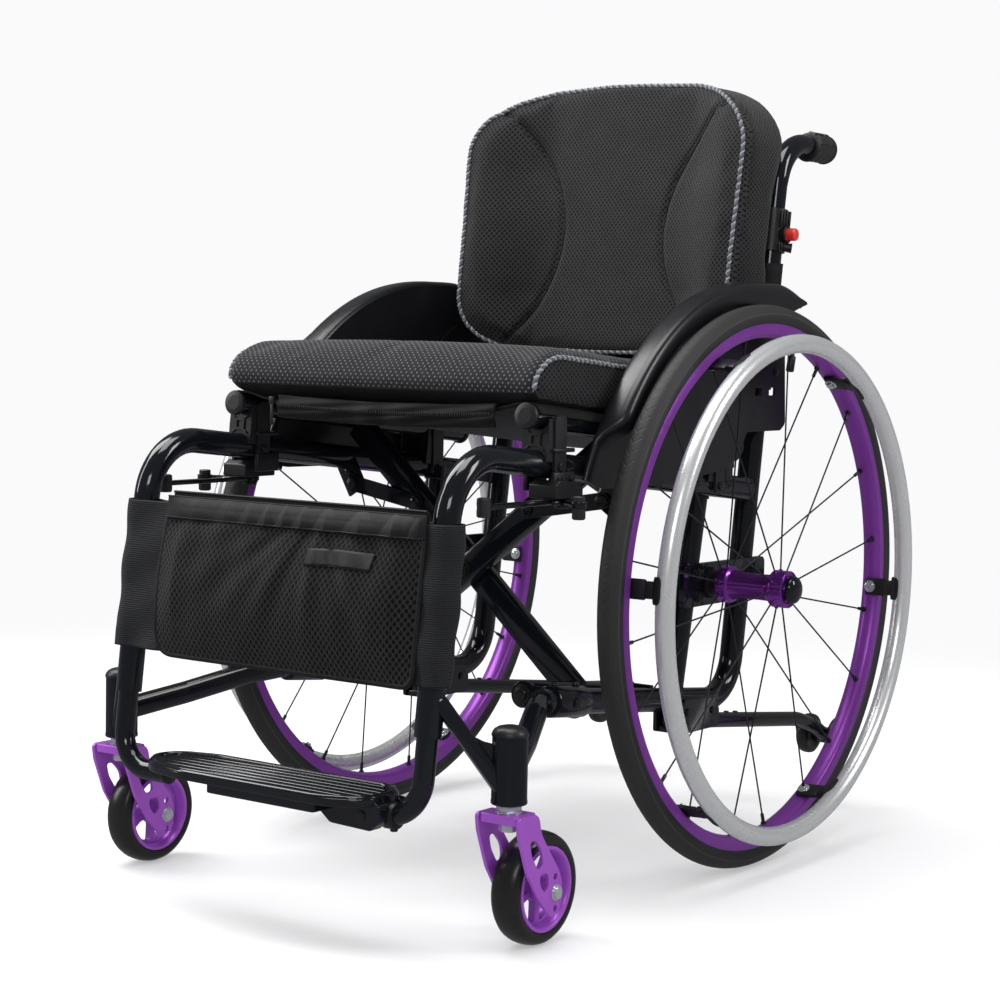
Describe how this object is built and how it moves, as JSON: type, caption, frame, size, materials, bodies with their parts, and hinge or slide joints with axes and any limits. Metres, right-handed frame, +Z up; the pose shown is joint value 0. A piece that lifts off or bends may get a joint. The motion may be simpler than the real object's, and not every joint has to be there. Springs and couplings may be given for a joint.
{
  "type": "folding wheelchair",
  "caption": "Folding sports wheelchair with quick-release spoked wheels, forked casters, cushions, side guards, footplate, calf strap, brakes and anti-tippers.",
  "frame": {"origin": "on the floor under the middle of the chair's bounding box", "axes": "+Z up, front of the chair towards -Y, the sitter's left at +X"},
  "size_m": [0.602, 0.8684, 0.8342],
  "materials": {
    "frame_black": "gloss black powder coat",
    "purple": "purple anodised satin",
    "silver": "satin anodised",
    "zinc": "zinc plated",
    "black_plastic": "moulded",
    "red_plastic": "moulded",
    "rubber_grey": "moulded",
    "tyre_black": "smooth tread",
    "black_fabric": "woven mesh"
  },
  "bodies": {
    "left_frame": {"left_side_frame": "frame_black", "left_front_saddle": "black_plastic", "left_rear_saddle": "black_plastic", "left_axle_plate": "frame_black", "left_caster_mount": "frame_black", "left_footrest_tube": "frame_black", "left_anti_tipper": "frame_black", "left_brake_body": "black_plastic", "left_side_guard": "black_plastic", "left_height_clamp": "black_plastic", "foot_hinge": "black_plastic", "seat_sling": "black_fabric", "seat_cushion": "black_fabric", "back_sling": "black_fabric", "back_cushion": "black_fabric", "calf_strap": "black_fabric"},
    "right_frame": {"right_side_frame": "frame_black", "right_front_saddle": "black_plastic", "right_rear_saddle": "black_plastic", "right_axle_plate": "frame_black", "right_caster_mount": "frame_black", "right_footrest_tube": "frame_black", "right_anti_tipper": "frame_black", "right_brake_body": "black_plastic", "right_side_guard": "black_plastic", "right_height_clamp": "black_plastic"},
    "rear_bar": {"cross_bar_rear": "frame_black", "brace_bolt": "zinc", "right_seat_tube": "frame_black"},
    "front_bar": {"cross_bar_front": "frame_black", "left_seat_tube": "frame_black"},
    "footplate_body": {"footplate": "black_plastic"},
    "left_link": {"left_brace_link": "frame_black"},
    "left_wheel": {"left_rear_tyre": "tyre_black", "left_rear_rim": "purple", "left_rear_hub": "purple", "left_handrim": "silver"},
    "left_axle": {"left_axle_pin": "black_plastic"},
    "left_fork": {"left_caster_fork": "purple"},
    "left_caster": {"left_caster_wheel": "purple", "left_caster_tyre": "tyre_black"},
    "left_tip_wheels": {"left_anti_tip_wheels": "rubber_grey"},
    "left_brake": {"left_brake_lever": "frame_black"},
    "left_handle": {"left_push_handle": "frame_black", "left_handle_grip": "rubber_grey"},
    "left_button": {"left_height_button": "red_plastic"},
    "right_link": {"right_brace_link": "frame_black"},
    "right_wheel": {"right_rear_tyre": "tyre_black", "right_rear_rim": "purple", "right_rear_hub": "purple", "right_handrim": "silver"},
    "right_axle": {"right_axle_pin": "black_plastic"},
    "right_fork": {"right_caster_fork": "purple"},
    "right_caster": {"right_caster_wheel": "purple", "right_caster_tyre": "tyre_black"},
    "right_tip_wheels": {"right_anti_tip_wheels": "rubber_grey"},
    "right_brake": {"right_brake_lever": "frame_black"},
    "right_handle": {"right_push_handle": "frame_black", "right_handle_grip": "rubber_grey"},
    "right_button": {"right_height_button": "red_plastic"}
  },
  "joints": [
    {"name": "fold", "type": "hinge", "parent": "left_frame", "child": "rear_bar", "pos_m": [0.137, -0.08319, 0.19328], "axis": [0, 0.9945, -0.1044], "range_deg": [0, 40], "deforming": ["seat_sling", "seat_cushion", "back_sling", "back_cushion", "calf_strap"]},
    {"name": "bar_scissor", "type": "hinge", "parent": "rear_bar", "child": "front_bar", "pos_m": [0, -0.07125, 0.307], "axis": [0, -0.9945, 0.1044], "range_deg": [0, 80]},
    {"name": "right_fold", "type": "hinge", "parent": "front_bar", "child": "right_frame", "pos_m": [-0.137, -0.08319, 0.19328], "axis": [0, 0.9945, -0.1044], "range_deg": [0, 40]},
    {"name": "footplate_flip", "type": "hinge", "parent": "left_frame", "child": "footplate_body", "pos_m": [0.152, -0.39523, 0.136], "axis": [0, 1, 0], "range_deg": [0, 90]},
    {"name": "left_link_pivot", "type": "hinge", "parent": "left_frame", "child": "left_link", "pos_m": [0.17, -0.08342, 0.39128], "axis": [0, 0.9945, -0.1044], "range_deg": [0, 72]},
    {"name": "left_wheel_spin", "type": "hinge", "parent": "left_frame", "child": "left_wheel", "pos_m": [0.247, 0.10075, 0.296], "axis": [1, 0, 0], "continuous": true},
    {"name": "left_axle_release", "type": "slide", "parent": "left_frame", "child": "left_axle", "axis": [-1, 0, 0], "range_m": [0, 0.0025], "stiffness_N_per_m": 1500, "springref_m": -0.003},
    {"name": "left_caster_swivel", "type": "hinge", "parent": "left_frame", "child": "left_fork", "pos_m": [0.2455, -0.33925, 0.13], "axis": [0, 0, 1], "continuous": true},
    {"name": "left_caster_spin", "type": "hinge", "parent": "left_fork", "child": "left_caster", "pos_m": [0.2455, -0.29725, 0.0525], "axis": [1, 0, 0], "continuous": true},
    {"name": "left_tip_wheel_spin", "type": "hinge", "parent": "left_frame", "child": "left_tip_wheels", "pos_m": [0.17, 0.41075, 0.086], "axis": [1, 0, 0], "continuous": true},
    {"name": "left_brake_turn", "type": "hinge", "parent": "left_frame", "child": "left_brake", "pos_m": [0.2, -0.1992, 0.3965], "axis": [0, 0, 1], "range_deg": [0, 47]},
    {"name": "left_handle_height", "type": "slide", "parent": "left_frame", "child": "left_handle", "axis": [0, 0.1396, 0.9902], "range_m": [-0.03, 0.08]},
    {"name": "left_button_press", "type": "slide", "parent": "left_frame", "child": "left_button", "axis": [-1, 0, 0], "range_m": [0, 0.004], "stiffness_N_per_m": 400, "springref_m": -0.004},
    {"name": "right_link_pivot", "type": "hinge", "parent": "right_frame", "child": "right_link", "pos_m": [-0.17, -0.06452, 0.38929], "axis": [0, -0.9945, 0.1044], "range_deg": [0, 72]},
    {"name": "right_wheel_spin", "type": "hinge", "parent": "right_frame", "child": "right_wheel", "pos_m": [-0.247, 0.10075, 0.296], "axis": [1, 0, 0], "continuous": true},
    {"name": "right_axle_release", "type": "slide", "parent": "right_frame", "child": "right_axle", "axis": [1, 0, 0], "range_m": [0, 0.0025], "stiffness_N_per_m": 1500, "springref_m": -0.003},
    {"name": "right_caster_swivel", "type": "hinge", "parent": "right_frame", "child": "right_fork", "pos_m": [-0.2455, -0.33925, 0.13], "axis": [0, 0, 1], "continuous": true},
    {"name": "right_caster_spin", "type": "hinge", "parent": "right_fork", "child": "right_caster", "pos_m": [-0.2455, -0.29725, 0.0525], "axis": [1, 0, 0], "continuous": true},
    {"name": "right_tip_wheel_spin", "type": "hinge", "parent": "right_frame", "child": "right_tip_wheels", "pos_m": [-0.17, 0.41075, 0.086], "axis": [1, 0, 0], "continuous": true},
    {"name": "right_brake_turn", "type": "hinge", "parent": "right_frame", "child": "right_brake", "pos_m": [-0.2, -0.1992, 0.3965], "axis": [0, 0, -1], "range_deg": [0, 47]},
    {"name": "right_handle_height", "type": "slide", "parent": "right_frame", "child": "right_handle", "axis": [0, 0.1396, 0.9902], "range_m": [-0.03, 0.08]},
    {"name": "right_button_press", "type": "slide", "parent": "right_frame", "child": "right_button", "axis": [1, 0, 0], "range_m": [0, 0.004], "stiffness_N_per_m": 400, "springref_m": -0.004}
  ],
  "couplings": [
    {"joint": "bar_scissor", "follows": "fold", "ratio": 2},
    {"joint": "right_fold", "follows": "fold", "ratio": 1},
    {"joint": "footplate_flip", "follows": "fold", "ratio": 2.25},
    {"joint": "left_link_pivot", "follows": "fold", "ratio": 1.8},
    {"joint": "right_link_pivot", "follows": "fold", "ratio": 1.8}
  ]
}
